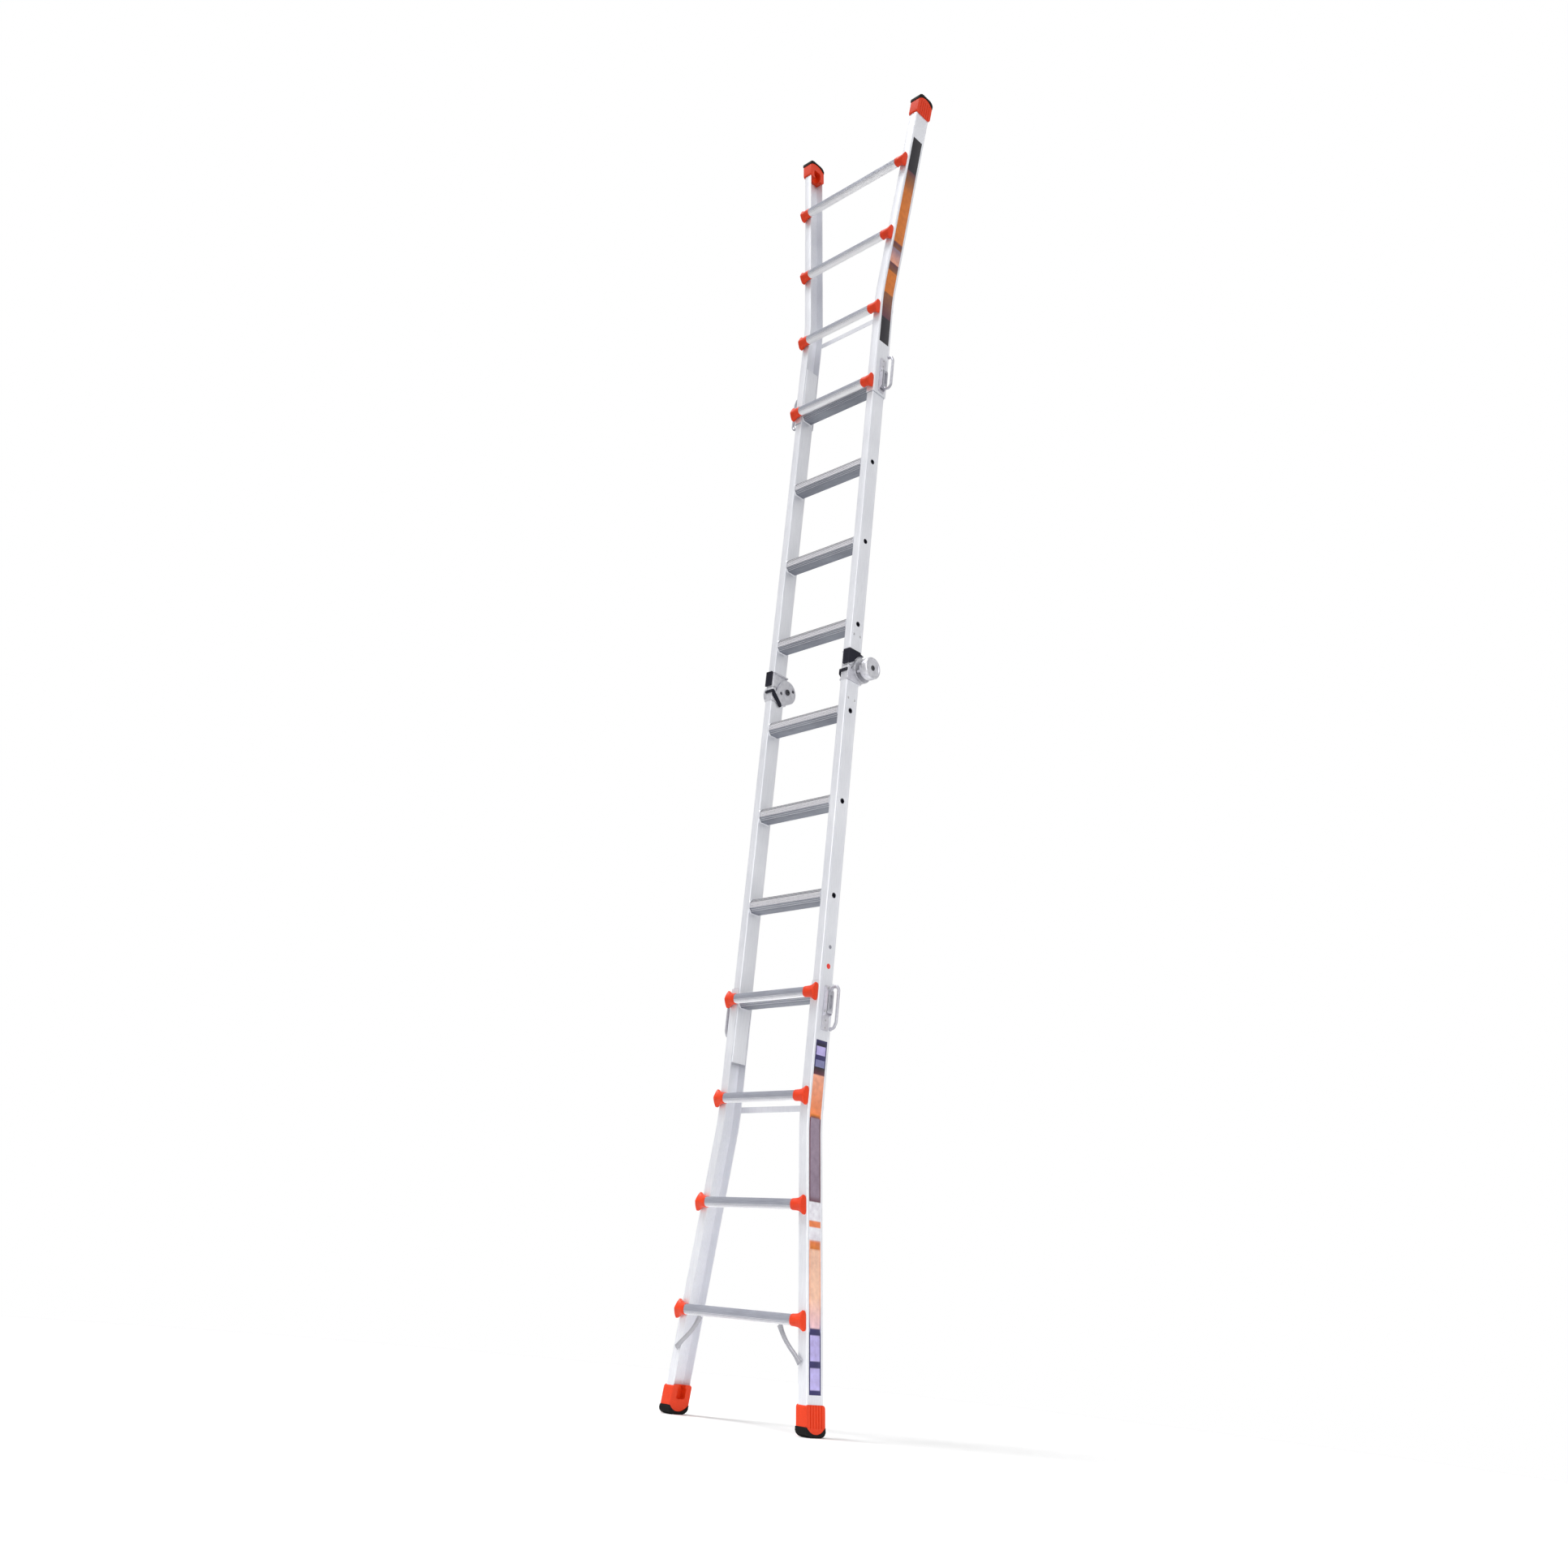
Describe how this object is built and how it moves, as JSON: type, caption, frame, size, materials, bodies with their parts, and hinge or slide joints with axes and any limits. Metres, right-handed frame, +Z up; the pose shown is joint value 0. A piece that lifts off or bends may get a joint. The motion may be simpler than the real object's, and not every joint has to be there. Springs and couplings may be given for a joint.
{
  "type": "extension ladder",
  "caption": "Articulated telescoping aluminium ladder opened straight, with flared outer sections, loop locks, palm-button hinges and orange feet.",
  "frame": {"origin": "on the floor, under the middle of the upright ladder's bounding box", "axes": "+Z up the ladder, X across it with the two halves of its width alike, the climbing side faces -Y"},
  "size_m": [0.587, 0.141, 4.5384],
  "materials": {
    "rail_aluminium": "mill finish, lightly brushed along the rail",
    "rung_aluminium": "ribbed extrusion, mid grey",
    "step_aluminium": "ribbed extrusion, slate grey",
    "hinge_steel": "zinc-plated pressed steel",
    "steel": "zinc-plated steel",
    "orange_plastic": "moulded, satin",
    "black_plastic": "moulded, fine grain",
    "sole_rubber": "moulded rubber"
  },
  "bodies": {
    "lower_outer_section": {"lower_outer_rail_left": "rail_aluminium", "lower_boot_left": "orange_plastic", "lower_sole_left": "sole_rubber", "lower_brace_left": "rail_aluminium", "lower_lock_bracket_left": "steel", "lower_outer_rail_right": "rail_aluminium", "lower_boot_right": "orange_plastic", "lower_sole_right": "sole_rubber", "lower_brace_right": "rail_aluminium", "lower_lock_bracket_right": "steel", "lower_outer_rung_1": "rung_aluminium", "lower_outer_rung_2": "rung_aluminium", "lower_outer_rung_3": "rung_aluminium", "lower_outer_rung_4": "rung_aluminium", "lower_rear_tie": "rail_aluminium"},
    "lower_inner_section": {"lower_inner_rail_left": "rail_aluminium", "lower_inner_rail_right": "rail_aluminium", "lower_inner_rung_1": "step_aluminium", "lower_inner_rung_2": "step_aluminium", "lower_inner_rung_3": "step_aluminium", "lower_inner_rung_4": "step_aluminium", "hinge_lower_arm_left": "hinge_steel", "hinge_pivot_bolt_left": "steel", "hinge_lower_cover_left": "black_plastic", "hinge_lower_arm_right": "hinge_steel", "hinge_pivot_bolt_right": "steel", "hinge_lower_cover_right": "black_plastic"},
    "lower_left_lock_lever": {"lower_lock_lever_left": "steel"},
    "lower_right_lock_lever": {"lower_lock_lever_right": "steel"},
    "upper_outer_section": {"upper_outer_rail_left": "rail_aluminium", "upper_boot_left": "orange_plastic", "upper_sole_left": "sole_rubber", "upper_lock_bracket_left": "steel", "upper_outer_rail_right": "rail_aluminium", "upper_boot_right": "orange_plastic", "upper_sole_right": "sole_rubber", "upper_lock_bracket_right": "steel", "upper_outer_rung_1": "rung_aluminium", "upper_outer_rung_2": "rung_aluminium", "upper_outer_rung_3": "rung_aluminium", "upper_outer_rung_4": "rung_aluminium", "upper_rear_tie": "rail_aluminium"},
    "upper_inner_section": {"upper_inner_rail_left": "rail_aluminium", "upper_inner_rail_right": "rail_aluminium", "upper_inner_rung_1": "step_aluminium", "upper_inner_rung_2": "step_aluminium", "upper_inner_rung_3": "step_aluminium", "upper_inner_rung_4": "step_aluminium", "hinge_upper_arm_left": "hinge_steel", "hinge_upper_cover_left": "black_plastic", "hinge_upper_arm_right": "hinge_steel", "hinge_upper_cover_right": "black_plastic"},
    "upper_left_lock_lever": {"upper_lock_lever_left": "steel"},
    "upper_right_lock_lever": {"upper_lock_lever_right": "steel"},
    "left_palm_button": {"hinge_palm_button_left": "hinge_steel"},
    "right_palm_button": {"hinge_palm_button_right": "hinge_steel"}
  },
  "joints": [
    {"name": "lower_section_slide", "type": "slide", "parent": "lower_outer_section", "child": "lower_inner_section", "axis": [0, 0, 1], "range_m": [-0.9144, 0]},
    {"name": "fold", "type": "hinge", "parent": "lower_inner_section", "child": "upper_inner_section", "pos_m": [0, 0.027, 2.2692], "axis": [-1, 0, 0], "range_deg": [0, 180]},
    {"name": "upper_section_slide", "type": "slide", "parent": "upper_inner_section", "child": "upper_outer_section", "axis": [0, 0, 1], "range_m": [-0.9144, 0]},
    {"name": "lower_left_lock_rock", "type": "hinge", "parent": "lower_outer_section", "child": "lower_left_lock_lever", "pos_m": [-0.196, -0.006, 1.1504], "axis": [0, -1, 0], "range_deg": [0, 16]},
    {"name": "lower_right_lock_rock", "type": "hinge", "parent": "lower_outer_section", "child": "lower_right_lock_lever", "pos_m": [0.196, -0.006, 1.1504], "axis": [0, 1, 0], "range_deg": [0, 16]},
    {"name": "upper_left_lock_rock", "type": "hinge", "parent": "upper_outer_section", "child": "upper_left_lock_lever", "pos_m": [-0.196, -0.006, 3.388], "axis": [0, 1, 0], "range_deg": [0, 16]},
    {"name": "upper_right_lock_rock", "type": "hinge", "parent": "upper_outer_section", "child": "upper_right_lock_lever", "pos_m": [0.196, -0.006, 3.388], "axis": [0, -1, 0], "range_deg": [0, 16]},
    {"name": "left_palm_press", "type": "slide", "parent": "lower_inner_section", "child": "left_palm_button", "axis": [1, 0, 0], "range_m": [0, 0.008], "stiffness_N_per_m": 1500},
    {"name": "right_palm_press", "type": "slide", "parent": "lower_inner_section", "child": "right_palm_button", "axis": [-1, 0, 0], "range_m": [0, 0.008], "stiffness_N_per_m": 1500}
  ]
}
